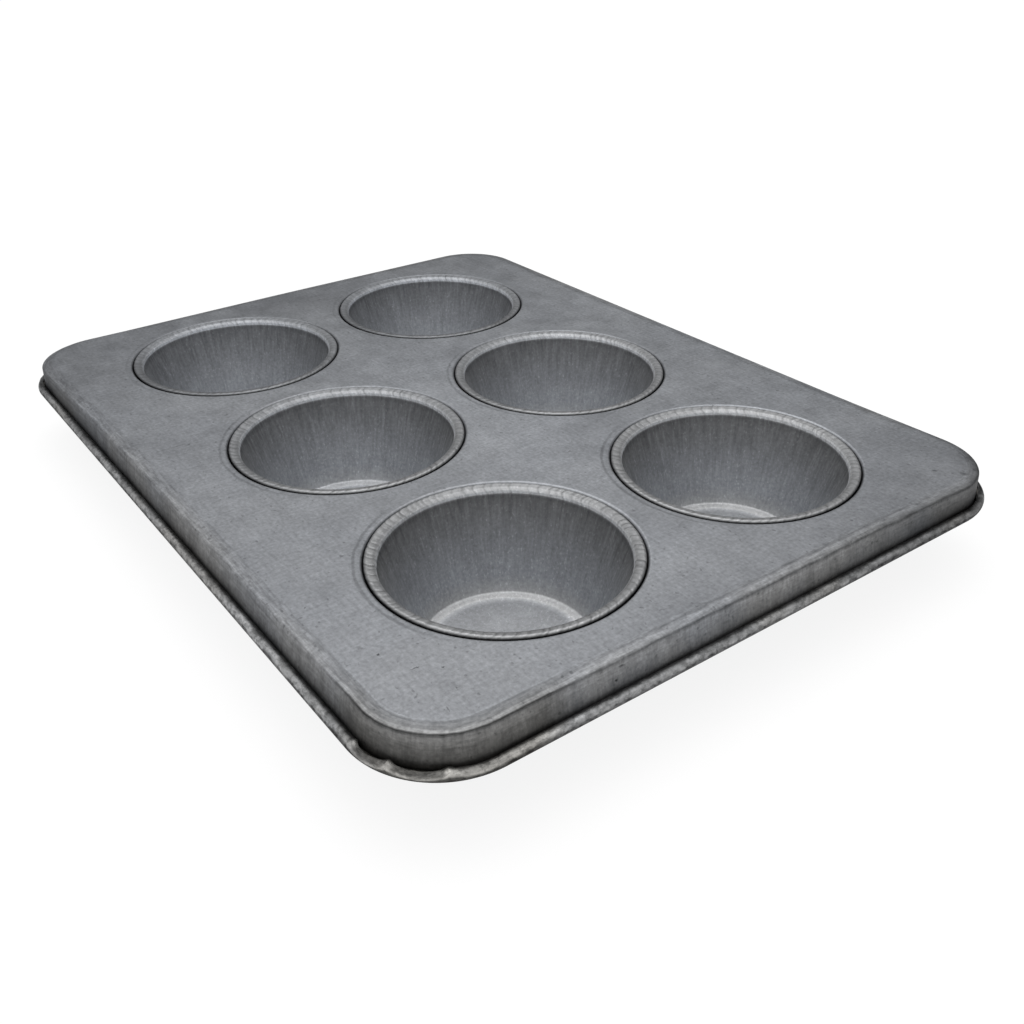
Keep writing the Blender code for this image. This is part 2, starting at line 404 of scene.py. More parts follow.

# %% [markdown]
# Marks of use are placed one by one, as a set painter would dab them on: each is a soft oval, with
# its middle and half lengths in millimetres, its turn in degrees, and how dark it is. The first
# are spots and scratches; the last are broad tones of painted light and shade, and a minus makes
# one brighter.

# %% Marks of use and painted tones
MARKS_AND_PAINTED_TONES = [((144.5, -128.0, 43.7), (0.65, 0.55, 2), 0, 0.75),
         ((162.2, -114.7, 43.7), (0.60, 0.50, 2), 0, 0.70),
         ((157.3, -122.0, 43.7), (1.8, 0.40, 2), 85, 0.60),
         ((173.3, -116.8, 43.7), (0.60, 0.50, 2), 20, 0.50),
         ((107.0, -135.1, 43.7), (0.55, 0.50, 2), 0, 0.65),
         ((137.6, -131.1, 43.7), (1.3, 0.9, 2), 40, 0.30),
         ((179.7, -124.3, 43.7), (1.7, 0.30, 2), -10, 0.45),
         ((171.2, -117.2, 43.7), (4.5, 2.2, 2), 30, 0.10),
         ((91.8, -147.3, 43.4), (0.9, 0.7, 2), 0, 0.60),
         ((66.9, -147.6, 43.4), (10.0, 0.30, 2), 3, 0.45),
         ((168.1, 113.6, 43.7), (1.3, 0.8, 2), 0, 0.30),
         ((177.8, 117.7, 43.7), (1.5, 0.8, 2), 30, 0.55),
         ((186.8, 125.0, 43.5), (1.8, 1.4, 2), 30, 0.45),
         ((189.0, 134.5, 43.5), (2.6, 2.0, 3), 60, 0.50),
         ((184.0, -127.5, 36.0), (1.6, 1.6, 2.8), 0, 0.65),
         ((184.0, -121.5, 32.5), (1.5, 0.9, 1.0), 0, 0.72),
         ((193.0, -69.4, 36.2), (2, 0.70, 0.65), 0, 0.80),
         ((193.0, -66.6, 40.5), (2, 1.6, 0.35), 0, 0.60),
         ((193.0, -96.5, 32.7), (2, 2.4, 1.8), 0, 0.35),
         # broad tones of painted light and shade: brighter on the near skirts and the middle of
         # the top, darker at the right edge, the back right corner, the left end and the front
         # left
         ((200.0, -112.0, 35.0), (13, 34, 8), 0, -0.22),
         ((100.0, -152.0, 35.0), (48, 7, 8), 0, -0.28),
         ((186.0, 143.0, 42.5), (20, 13, 8), 35, 0.24),
         ((20.0, 0.0, 43.7), (95, 42, 5), 0, -0.13),
         ((161.0, -20.0, 43.7), (9, 16, 5), 0, -0.12),
         ((188.0, 0.0, 43.7), (17, 140, 3), 0, 0.09),
         ((156.0, 50.0, 43.7), (12, 34, 5), 0, 0.10),
         ((-170.0, -5.0, 43.7), (25, 38, 5), 0, 0.13),
         ((-150.0, -125.0, 43.7), (50, 26, 5), 0, 0.06)]
MARK_BEND = 1.2 * MM          # how far noise moves the outline of a mark


def marks_and_painted_tones(tree, place):
    """A level that is lower at each mark, and lower or higher at each broad tone of painted light
    and shade. Noise bends the marks, so that none is a neat oval.
    """
    bend = pattern(tree, place, 0.9, 1.0)
    bend = add(tree, "VectorMath", {0: bend.outputs["Color"], 1: (0.5, 0.5, 0.5)},
               operation="SUBTRACT")
    bend = add(tree, "VectorMath", {0: bend, "Scale": MARK_BEND}, operation="SCALE")
    place = add(tree, "VectorMath", {0: place, 1: bend})
    level = 1.0
    for middle, halves, turn, dark in MARKS_AND_PAINTED_TONES:
        spot = add(tree, "Mapping", {"Vector": place, "Location": [c * MM for c in middle],
                                     "Rotation": (0, 0, math.radians(turn)),
                                     "Scale": [c * MM for c in halves]}, vector_type="TEXTURE")
        reach = add(tree, "VectorMath", {0: spot}, operation="LENGTH").outputs["Value"]
        level = times(tree, level, add(tree, "MapRange", {
            "Value": reach, "From Min": 0.4, "From Max": 1.1, "To Min": 1 - dark}))
    return level


print("marks of use:", len(MARKS_AND_PAINTED_TONES))

# %% [markdown]
# The finish multiplies plain layers, as a painter lays glazes: the painted light, shade and wear
# from the tables, the crystal skin, the lines of the die, the rubbed places, and the marks with
# their broad painted tones. The real crystals are about 0.5 mm across and the die's lines finer
# still. Both are too fine to show, so the crystals are drawn at 1.5 mm and the lines at 1 to 2 mm.
# With its edge reflection held down, the metal stays as dull as the real skin.

# %% Bare and greasy metal
def toward_dark_gap(tree, way, length=1.0):
    """From 0 on the side where the gap round a cup is painted light grey to 1 where it is painted
    dark, in shade.
    """
    side = add(tree, "VectorMath", {0: way, 1: DARK_GAP_SIDE}, operation="DOT_PRODUCT")
    return level_of(tree, side.outputs["Value"], [(-0.15, 0.0), (0.55, 1.0)], length)


def worn_and_shaded_metal(tree, clean, film, shade, grain, draw, draw_strength, rough, edge_glow):
    """A shaded metal with a film of grease and the relief of its grain and its draw lines."""
    tint = add(tree, "Mix", {0: film, 6: linear(clean), 7: linear(WARM_METAL)}, data_type="RGBA")
    colour = add(tree, "VectorMath", {0: tint.outputs[2], "Scale": shade}, operation="SCALE")
    relief = add(tree, "Bump", {"Height": grain, "Strength": 0.3, "Distance": 0.06 * MM})
    relief = add(tree, "Bump", {"Height": draw, "Strength": draw_strength,
                                "Distance": 0.08 * MM, "Normal": relief})
    metal = add(tree, "BsdfPrincipled", {"Base Color": colour, "Metallic": 1.0,
                                         "Roughness": rough, "Normal": relief,
                                         "Specular Tint": (edge_glow, edge_glow, edge_glow, 1.0)})
    add(tree, "OutputMaterial", {"Surface": metal})


def skin_of_sheet(tree, place, grain, clouds, stains):
    """The crystal mottle, faint rolling lines both ways, clouds, stains and a few dark specks."""
    rolled = [pattern(tree, place, 1.1, 2.0, stretch=stretch)
              for stretch in ((0.12, 1, 1), (1, 0.12, 1))]
    specks = pattern(tree, place, 1.7, 0.0)
    return times(tree, level_of(tree, grain, [(0.3, 0.82), (0.7, 1.18)]),
                 level_of(tree, clouds, [(0.3, 0.95), (0.7, 1.05)]),
                 level_of(tree, stains, [(0.3, 0.95), (0.7, 1.05)]),
                 level_of(tree, rolled[0], [(0.3, 0.94), (0.7, 1.06)]),
                 level_of(tree, rolled[1], [(0.3, 0.94), (0.7, 1.06)]),
                 level_of(tree, specks, [(0.76, 1.0), (0.82, 0.7)]))


print("clean metal:", [round(part, 2) for part in linear(CLEAN_METAL)[:3]], "in linear light")


# %% Painted light and wear from place to place
def light_and_wear_by_place(tree, x, y, wandering_run, at_corner):
    """The level along the section, where the tables of the four places fade into each other."""
    left, right, far, corner = (
        level_of(tree, wandering_run, levels, MM)
        for levels in (LEFT_LEVELS + CURL_LEVELS, RIGHT_LEVELS + CURL_LEVELS,
                       FAR_LEVELS + CURL_LEVELS, CORNER_LEVELS + CORNER_CURL))
    at_right = times(tree, level_of(tree, x, [(150, 0.0), (185, 1.0)], MM),
                     level_of(tree, y, [(-128, 0.0), (-104, 1.0)], MM))
    at_far = times(tree, level_of(tree, x, [(120, 0.0), (150, 1.0)], MM),
                   level_of(tree, y, [(75, 0.0), (115, 1.0)], MM))
    level = left
    for where, there in ((at_right, right), (at_far, far), (at_corner, corner)):
        level = add(tree, "Mix", {0: where, 2: level, 3: there})
    return level


def light_and_shade_round_holes(tree, x, run, wandering_run, from_cup):
    """The painted light and shade of the bend into each hole and its gap, and the ring of painted
    shade on one side of it.
    """
    light_gap, dark_gap = (level_of(tree, run, levels, MM) for levels in (LIGHT_GAP_LEVELS, DARK_GAP_LEVELS))
    # a painted highlight on that bend at the right-hand cups
    glint = times(tree, level_of(tree, x, [(40, 0.0), (120, 1.0)], MM),
                  level_of(tree, run, [(-26.6, 0.0), (-25.7, 1.0), (-24.9, 1.0), (-24.4, 0.0)],
                           MM))
    light_gap = times(tree, light_gap, level_of(tree, glint, [(0, 1.0), (1, 1.4)]))
    in_hole = add(tree, "Mix", {0: toward_dark_gap(tree, from_cup), 2: light_gap, 3: dark_gap})

    # a ring of painted shade on the dish slope, on one side of each hole
    side = add(tree, "VectorMath", {0: from_cup, 1: SHADED_DISH_SIDE}, operation="DOT_PRODUCT")
    ring = times(tree, level_of(tree, side.outputs["Value"], [(0.45, 0.0), (0.85, 1.0)]),
                 level_of(tree, x, [(-120, 0.4), (20, 1.0)], MM),
                 level_of(tree, wandering_run, [(-24.8, 0.40), (-24.2, 0.10), (-23.4, 0.20), (-22.9, 1.0),
                                       (-22.3, 1.0), (-21.7, 0.0)], MM))
    return times(tree, in_hole, level_of(tree, ring, [(0, 1.0), (1, 0.70)]))


def painted_shade_and_pleat_highlights(tree, x, y, run, pleats):
    """Painted shade that dulls the left end and the back of the right edge, and a painted
    highlight on the pleats.
    """
    # the skirt at the left lies in the shade of its own top edge
    in_shade = times(tree, level_of(tree, x, [(-190, 1.0), (60, 0.0)], MM),
                     level_of(tree, run, [(3.5, 0.0), (6.5, 1.0), (16, 1.0), (19, 0.0)], MM))
    far_right_shade = times(tree, level_of(tree, x, [(120, 0.0), (180, 1.0)], MM),
                      level_of(tree, y, [(10, 0.0), (80, 1.0)], MM),
                      level_of(tree, run, [(1.5, 0.3), (4, 1.0)], MM))
    # painted shade at the left end and the back of the right edge, and a painted highlight on the
    # pleats
    return times(tree, level_of(tree, in_shade, [(0, 1.0), (1, 0.62)]),
                 level_of(tree, x, [(-190, 0.84), (-70, 1.0)], MM),
                 level_of(tree, far_right_shade, [(0, 1.0), (1, 0.64)]),
                 level_of(tree, pleats, [(0, 1.0), (1, 1.8)]))


print("the longest table has", len(CORNER_LEVELS + CORNER_CURL), "of the 32 stops of a ramp")


# %% Finish of the frame sheet
def aluminised_sheet():
    """Aluminised steel, pressed: it looks silver grey and soft, with painted highlights on its
    bends and painted shade down its skirt and in the gaps round the cups.
    """
    material, tree = new_material("aluminised_sheet")
    place = add(tree, "TexCoord").outputs["Object"]
    x, y, _ = add(tree, "SeparateXYZ", {"Vector": place}).outputs
    edge, from_cup = (add(tree, "Attribute", attribute_name=name).outputs["Vector"]
                      for name in ("edge", "from_cup"))
    run, pleats = (add(tree, "Attribute", attribute_name=name).outputs["Fac"]
                   for name in ("run", "pleat"))
    away = add(tree, "VectorMath", {0: place, 1: NEAR_CORNER}, operation="DISTANCE")
    at_corner = level_of(tree, away.outputs["Value"], [(28, 1.0), (45, 0.0)], MM)

    # along the edge the painted light, shade and wear wander a little to either side, less so
    # round the near corner
    wander = [add(tree, "MapRange", {"Value": pattern(tree, edge, size, 2.0), "From Min": 0.3,
                                     "From Max": 0.7, "To Min": -reach, "To Max": reach})
              for size, reach in ((14, 0.35 * MM), (2.5, 0.16 * MM))]
    wander = times(tree, add(tree, "Math", {0: wander[0], 1: wander[1]}),
                   level_of(tree, at_corner, [(0, 1.0), (1, 0.5)]))
    wandering_run = add(tree, "Math", {0: run, 1: wander})

    # upright draw lines from the shoulder down the skirt, fainter at the left and the back
    draw = pattern(tree, edge, 1.2, 4.0, rough=0.6, stretch=(1, 1, 0.2))
    bands = pattern(tree, edge, 6, 2.0, stretch=(1, 1, 0.2))
    drawn = times(tree, level_of(tree, draw, [(0.32, 0.84), (0.68, 1.14)]),
                  level_of(tree, bands, [(0.35, 0.88), (0.65, 1.10)]))
    on_edge = level_of(tree, run, [(0, 0.05), (2.5, 0.35), (6, 1.0), (16, 1.0), (18, 0.12)], MM)
    strength = times(tree, on_edge, level_of(tree, x, [(-150, 0.4), (-60, 1.0)], MM),
                     level_of(tree, y, [(40, 1.0), (110, 0.35)], MM))
    drawn = add(tree, "Mix", {0: strength, 2: 1.0, 3: drawn})

    # rubbed lines along the shoulder and scuffs along the skirt
    rubs = pattern(tree, edge, 1.0, 3.0, rough=0.65, stretch=(0.14, 0.14, 1))
    on_rubs = level_of(tree, run, [(-2, 0.0), (0, 1.0), (5, 1.0), (6, 0.5), (8.5, 0.8),
                                   (11, 0.3), (17, 0.1)], MM)
    rubbed = add(tree, "Mix", {0: on_rubs, 2: 1.0,
                               3: level_of(tree, rubs, [(0.33, 0.78), (0.67, 1.22)])})

    # short dark dashes along the lower side of the rolled rim
    dashes = pattern(tree, edge, 2.0, 4.0, rough=0.75, stretch=(0.6, 0.6, 1.4))
    on_rim = level_of(tree, run, [(18.5, 0.0), (20.0, 0.6), (21.6, 0.7), (22.2, 1.0),
                                  (22.8, 0.5), (24.4, 0.7)], MM)
    dashed = add(tree, "Mix", {0: on_rim, 2: 1.0,
                               3: level_of(tree, dashes, [(0.40, 0.30), (0.56, 1.14)])})

    grain = pattern(tree, place, 1.5, 4.0, rough=0.65)
    clouds = pattern(tree, place, 13, 3.0)
    stains = pattern(tree, place, 55, 2.0)
    shade = times(tree, light_and_wear_by_place(tree, x, y, wandering_run, at_corner),
                  light_and_shade_round_holes(tree, x, run, wandering_run, from_cup), painted_shade_and_pleat_highlights(tree, x, y, run, pleats),
                  skin_of_sheet(tree, place, grain, clouds, stains), drawn, rubbed, dashed,
                  marks_and_painted_tones(tree, place))

    # grease bakes on in patches, most of it low on the skirt and in the rim
    greasy = add(tree, "Math", {0: level_of(tree, stains, [(0.40, 0.1), (0.60, 0.7)]),
                                1: at_corner}, operation="MAXIMUM")
    film = times(tree, greasy,
                 level_of(tree, run, [(-1, 0.1), (2.5, 0.4), (6.5, 0.7), (17, 1.0)], MM))
    film = add(tree, "Math", {0: film, 1: level_of(tree, run, [(18, 0.0), (21, 0.45)], MM)},
               operation="MAXIMUM")

    worn_and_shaded_metal(tree, CLEAN_METAL, film, shade, grain, draw, times(tree, on_edge, 0.5),
               level_of(tree, clouds, [(0.3, 0.46), (0.7, 0.56)]), edge_glow=0.45)
    return material


sheet_metal = aluminised_sheet()
print("finish:", sheet_metal.name, "with", len(sheet_metal.node_tree.nodes), "nodes")

# %% [markdown]
# A cup starts as a disc of the same sheet. The punch drew it down through a ring, which left
# fine upright lines on the wall and small crimps across the rolled bead. Each point of the cup
# stores its place as if the wall were unrolled from a tube: a direction round the cup and a
# length along the metal. Noise that is stretched along the metal becomes draw lines, with no
# seam where the circle closes. Real ones are hair fine, and are drawn coarser so that they show.
# The lengths in the tables count from the lip: the floor is below -45.6 mm, its slope ends at
# -42.3, then comes the wall, and the bead lies above nought.

# %% Finish of the cups
CUP_METAL = "#b3b6bb"
# painted light and shade along the section: painted highlights on the two bends of the fillet and
# on the bead's crest, a wall that gets darker towards the mouth, and painted shade where the bead
# goes down into the gap
CUP_LIGHT_AND_SHADE = [(-77.0, 0.72), (-49.0, 0.74), (-47.4, 0.90), (-46.2, 1.14), (-45.4, 1.12),
              (-44.5, 0.94), (-43.3, 0.88), (-42.5, 0.99), (-41.8, 0.98), (-40.8, 0.94),
              (-39.5, 0.90), (-37.0, 0.84), (-34.0, 0.80), (-29.0, 0.78), (-17.0, 0.60),
              (-10.0, 0.50), (-6.0, 0.43), (-1.1, 0.38), (-0.5, 0.65), (-0.1, 1.80),
              (0.4, 1.95), (1.1, 1.50), (1.7, 0.82), (2.3, 0.56), (2.9, 0.53), (3.6, 0.60),
              (4.8, 0.64), (5.7, 0.60), (6.3, 0.50), (6.8, 0.35), (7.4, 0.12)]
# painted shade on the outside of the bead, where it goes down into the gap on the side where the
# gap is painted dark
FLANK_SHADE_LEVELS = [(5.2, 1.0), (5.7, 0.80), (6.0, 0.56), (6.3, 0.32), (6.6, 0.17), (7.1, 0.10)]


def drawn_cup():
    """The same metal, drawn deep: a soft grey wall with upright lines, and a painted highlight on
    the lip.
    """
    material, tree = new_material("aluminised_cup")
    place = add(tree, "TexCoord").outputs["Object"]
    drawn = add(tree, "Attribute", attribute_name="drawn").outputs["Vector"]
    run, crimp = (add(tree, "Attribute", attribute_name=name).outputs["Fac"]
                  for name in ("run", "crimp"))

    # the crystal skin, with small bright flecks where it is rubbed
    grain = pattern(tree, place, 1.4, 4.0, rough=0.65)
    flecks = pattern(tree, drawn, 1.0, 1.0, stretch=(1, 1, 0.7))
    skin = times(tree, level_of(tree, grain, [(0.3, 0.84), (0.7, 1.16)]),
                 level_of(tree, pattern(tree, place, 11, 2.0), [(0.3, 0.94), (0.7, 1.06)]),
                 level_of(tree, flecks, [(0.62, 1.0), (0.76, 1.35)]))

    # draw lines on the wall, strongest where the metal was stretched most, near the mouth
    draw = pattern(tree, drawn, 2.3, 3.0, rough=0.6, stretch=(1, 1, 0.16))
    hairs = pattern(tree, drawn, 1.2, 2.0, stretch=(1, 1, 0.1))
    strength = level_of(tree, run, [(-43, 0.0), (-36, 0.4), (-17, 0.6), (-9, 0.9), (-1, 1.0),
                                    (1.5, 0.2), (7, 0.2)], MM)
    lines = times(tree, level_of(tree, draw, [(0.34, 0.87), (0.66, 1.12)]),
                  level_of(tree, hairs, [(0.3, 0.86), (0.7, 1.14)]))
    lines = add(tree, "Mix", {0: strength, 2: 1.0, 3: lines})

    # painted shade dulls the beads of the far cups, most of all on the side where the gap is
    # painted dark
    dark_gap_side = toward_dark_gap(tree, drawn, MOUTH_RADIUS)
    flank_shade = add(tree, "Mix", {0: dark_gap_side, 2: 1.0, 3: level_of(tree, run, FLANK_SHADE_LEVELS, MM)})
    far = level_of(tree, add(tree, "SeparateXYZ", {"Vector": place}).outputs["X"],
                   [(-190, 1.0), (60, 0.0)], MM)
    far_bead = times(tree, far, level_of(tree, run, [(-1, 0.0), (1, 1.0)], MM))
    far_bead_shade = times(tree, level_of(tree, far_bead, [(0, 1.0), (1, 0.84)]),
                 level_of(tree, times(tree, far_bead, dark_gap_side), [(0, 1.0), (1, 0.55)]))

    # darker in the crimps
    crimp_dark = level_of(tree, crimp, [(0.0, 1.04), (0.9, 0.52)])
    shade = times(tree, level_of(tree, run, CUP_LIGHT_AND_SHADE, MM), flank_shade, far_bead_shade, skin, lines, crimp_dark)
    film = times(tree, level_of(tree, far, [(0, 1.0), (1, 0.1)]),
                 level_of(tree, run, [(-47, 0.25), (-45, 0.5), (-41, 0.4), (-34, 0.0),
                                      (-20, 0.05), (-4, 0.3), (3, 0.4)], MM))
    worn_and_shaded_metal(tree, CUP_METAL, film, shade, grain, draw, times(tree, strength, 0.6),
               level_of(tree, run, [(-4, 0.66), (0.5, 0.50), (7, 0.46)], MM), edge_glow=0.6)
    return material


cup_metal = drawn_cup()
print("finish:", cup_metal.name, "with", len(cup_metal.node_tree.nodes), "nodes")

# %% [markdown]
# The wire in the rim is bare steel, pulled through a die. The rolled edge hides nearly all of
# it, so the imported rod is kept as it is, and only gets a finish: dark, even and a little shiny.

# %% Finish of the wire
def drawn_wire():
    """Bare drawn steel: an even dark grey, with a grain that is drawn coarser than the real."""
    material, tree = new_material("drawn_wire")
    grain = pattern(tree, add(tree, "TexCoord").outputs["Object"], 0.8, 2.0)
    colour = add(tree, "Mix", {0: grain, 6: linear("#5c5a57"), 7: linear("#74726e")},
                 data_type="RGBA")
    metal = add(tree, "BsdfPrincipled", {"Base Color": colour.outputs[2], "Metallic": 1.0,
                                         "Roughness": 0.42})
    add(tree, "OutputMaterial", {"Surface": metal})
    return material


wire_metal = drawn_wire()
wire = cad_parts["rim_wire"]
wire.data.materials.clear()
wire.data.materials.append(wire_metal)
print("finish:", wire_metal.name)

# %% [markdown]
# The frame sheet. Its edge has the same section all round: a sloping shoulder, a tight bend,
# a flared skirt, and a curl round the wire. So the section is drawn once and swept, with a
# spin at each corner and short extrusions along each side, as the metal itself flows over the
# die. Then each hole is a spun dish with its collar, and the flat between is filled.

# %% Section of the sheet's edge
BEND_STEPS, SKIRT_STEPS, CURL_STEPS = 8, 6, 26
SIDE_STEP = 5 * MM
CORNER_STEPS = 84


def edge_section():
    """(offset, height, run) from the flat of the sheet to the end of the curl."""
    bend = (-EDGE_RADIUS, SHEET_TOP - SHOULDER_FALL - EDGE_RADIUS)
    slope = math.degrees(math.atan2(SHOULDER_FALL, SHOULDER_WIDTH - EDGE_RADIUS))
    lean = math.degrees(math.atan2(SKIRT_FLARE, bend[1] - WIRE_Z))
    turned = arc(bend, EDGE_RADIUS, 90 - slope, lean, BEND_STEPS)
    curl = arc((WIRE_OFFSET, WIRE_Z), CURL_RADIUS, 180, 360 + CURL_END, CURL_STEPS)
    start = (-SHOULDER_WIDTH, SHEET_TOP)
    flat = [(start[0] + inside, SHEET_TOP) for inside in (-4.0 * MM, -2.0 * MM, -1.0 * MM)]
    points = flat + between(start, turned[0], 5) + turned[:-1] \
        + between(turned[-1], curl[0], SKIRT_STEPS) + curl
    return with_run(points, first=flat[0][0] - start[0])


section = edge_section()
print("edge section:", len(section), "points,", round(section[-1][2] / MM, 1), "mm of metal")


# %% Sweep it round the sheet
def push(bm, line, way, length):
    """Extrudes a line of edges along a straight side in short steps, and returns its end."""
    steps = round(length / SIDE_STEP)
    for _ in range(steps):
        chain = [part for part in line if isinstance(part, bmesh.types.BMEdge)]
        line = bmesh.ops.extrude_edge_only(bm, edges=chain)["geom"]
        line = [part for part in line if not isinstance(part, bmesh.types.BMFace)]
        moved = [part for part in line if isinstance(part, bmesh.types.BMVert)]
        bmesh.ops.translate(bm, verts=moved, vec=Vector(way) * length / steps)
    return line


def swept_edge(bm):
    """The edge of one quarter of the sheet, mirrored to the other three."""
    reach = Vector((HALF_LENGTH - CORNER_RADIUS, HALF_WIDTH - CORNER_RADIUS, 0.0))
    line = draw_line(bm, [((HALF_LENGTH + offset, 0.0, z), run) for offset, z, run in section])
    line = push(bm, line, (0, 1, 0), reach.y)
    line = bmesh.ops.spin(bm, geom=line, cent=reach, axis=(0, 0, 1), angle=math.pi / 2,
                          steps=CORNER_STEPS)["geom_last"]
    push(bm, line, (-1, 0, 0), reach.x)
    for axis in "XY":
        bmesh.ops.mirror(bm, geom=bm.verts[:] + bm.edges[:] + bm.faces[:], axis=axis,
                         matrix=Matrix.Identity(4), merge_dist=0.001 * MM)
    bmesh.ops.remove_doubles(bm, verts=bm.verts, dist=0.001 * MM)


print("straight sides go in steps of", round(SIDE_STEP / MM), "mm, corners in", CORNER_STEPS)


# %% A hole with its collar
HOLE_STEPS = 180
HOLE_RUN = -20 * MM           # in a hole the run goes down from here, so it meets no other value


def dished_hole():
    """The flat strip, the bend and the collar of a hole, about the Z axis."""
    dish = arc((COLLAR_RADIUS + DISH_RADIUS, SHEET_TOP - DISH_RADIUS), DISH_RADIUS, 90, 180, 9)
    low = (COLLAR_RADIUS, COLLAR_LOW)
    points = between((dish[0][0] + DISH_FLAT, SHEET_TOP), dish[0], 5) + dish[:-1] \
        + between(dish[-1], low, 2) + [low]
    line = [((r, 0.0, z), HOLE_RUN - run) for r, z, run in with_run(points)]
    bm = bmesh.new()
    turn_round(bm, draw_line(bm, line), HOLE_STEPS)
    return as_mesh(bm, "dished_hole")


print("each hole is", round(2 * COLLAR_RADIUS / MM, 1), "mm wide")

# %% [markdown]
# Round a corner the rolled edge has too much metal, so it puckered: it stands against the skirt
# at four cusps and falls back between them. The curl's points are turned back about the wire by
# an amount that depends on the angle round the corner. On the near corner it opened most.

# %% Puckers of the rolled edge at the corners
CUSPS = (-86.6, -62.0, -30.3, 1.6)      # degrees round the near corner
NEAR_FALLS = (54, 62, 30)               # how far the edge falls back in each gap, in degrees
OTHER_FALLS = (24, 34, 20)
PLEAT = 0.5 * MM                        # how high a pleat stands at a cusp
PLEAT_HALF = 2.2                        # degrees round the corner
WAVE_MM = 19                            # the whole edge waves a little, about once in this
WAVE_TURN, WAVE_HEIGHT = 5, 0.12 * MM   # degrees round the wire, and height on top of it


def edge_place(co):
    """The corner or side point that a place on the sheet's edge belongs to, and the way out."""
    reach = Vector((HALF_LENGTH - CORNER_RADIUS, HALF_WIDTH - CORNER_RADIUS))
    base = Vector((max(-reach.x, min(reach.x, co.x)), max(-reach.y, min(reach.y, co.y))))
    out = Vector((co.x, co.y)) - base
    return base, out.normalized() if out.length > 0 else Vector((1, 0))


def round_corner(base, out):
    """The angle round a corner, as seen on the near one, and whether this is the near one."""
    angle = math.degrees(math.atan2(out.y, out.x))
    if base.x > 0:
        return (angle, True) if base.y < 0 else (-angle, False)
    return (angle - 180, False) if base.y > 0 else (-180 - angle, False)


def fall_back(angle, near):
    """How far the rolled edge falls back at this angle, in degrees round the wire."""
    for start, end, fall in zip(CUSPS, CUSPS[1:], NEAR_FALLS if near else OTHER_FALLS):
        if start < angle < end:
            return fall * math.sin(math.pi * (angle - start) / (end - start)) ** 0.5
    return 0.0


def pleat(angle, near):
    """How high the metal is bunched up at this angle, from 0 to 1."""
    if min(abs(angle), abs(angle + 90)) < 0.001:
        return 0.0
    nearest = min(abs(angle - cusp) for cusp in CUSPS)
    return (1.0 if near else 0.5) * math.exp(-(nearest / PLEAT_HALF) ** 2)


def pucker(bm):
    """Turns the points of the curl back about the wire, and lifts them where it is pleated."""
    layer = bm.verts.layers.float["run"]
    pleats = bm.verts.layers.float.new("pleat")
    whole = math.radians(180 + CURL_END)
    run_curl = section[-1][2] - CURL_RADIUS * whole
    for vert in bm.verts:
        along = (vert[layer] - run_curl) / CURL_RADIUS
        if along <= 0:
            continue
        base, out = edge_place(vert.co)
        angle, near = round_corner(base, out)
        wavy = noise.noise(Vector((*vert.co.xy, 0)) * per(WAVE_MM))
        fall = fall_back(angle, near) + WAVE_TURN * wavy
        turn = math.radians(180) + along * (whole - math.radians(fall)) / whole
        top = max(0.0, math.sin(turn)) ** 2 if turn > 2 * math.pi else 0.0
        vert[pleats] = top * pleat(angle, near)
        radius = CURL_RADIUS + PLEAT * vert[pleats] + top * WAVE_HEIGHT * wavy
        spot = CORNER_RADIUS + WIRE_OFFSET + radius * math.cos(turn)
        vert.co = (*(base + out * spot), WIRE_Z + radius * math.sin(turn))


print("at the near corner the rolled edge falls back by up to", max(NEAR_FALLS), "degrees")

# %% [markdown]
# Two corners are knocked out of true, the front left and the back right: the top edge there
# leans out over the rim, so the skirt stands straighter. Years of use do that. The points of the
# shoulder and the skirt are moved by a smooth share that is greatest at the corner and gone at
# some distance from it, so nothing creases.

# %% Corners out of true
# the side, how far along it the lean reaches, and how far out and down the top edge goes
STRAIGHTER = (((-1, -1), 170 * MM, 2.0 * MM, 1.6 * MM), ((1, 1), 100 * MM, 2.0 * MM, 0.3 * MM))


def straighten(bm):
    """Moves the top of the edge out over the rim at two corners, which are knocked out of true."""
    layer = bm.verts.layers.float["run"]
    for vert in bm.verts:
        run = vert[layer]
        if run >= RUN_CURL:
            continue
        _, out = edge_place(vert.co)
        share = 1.0 if run < RUN_BEND else (RUN_CURL - run) / (RUN_CURL - RUN_BEND)
        drop = share * max(0.0, min(1.0, (run + 3 * MM) / (RUN_BEND + 3 * MM))) ** 2
        for side, reach, outwards, down in STRAIGHTER:
            corner = Vector((side[0] * HALF_LENGTH, side[1] * HALF_WIDTH))
            near = max(0.0, 1 - (vert.co.xy - corner).length / reach)
            near *= near * (3 - 2 * near)
            vert.co.xy += out * outwards * share * near
            vert.co.z -= down * drop * near


print("corners out of true:", len(STRAIGHTER))

# %% [markdown]
# Now the sheet is put together: the swept edge with its faults, six holes, and one flat between
# them, which is filled from its outlines because it needs no points of its own. Each point also
# keeps two vectors for the finish. One is its place along the edge, as if the edge were unrolled.
# The other is its way from the nearest cup.

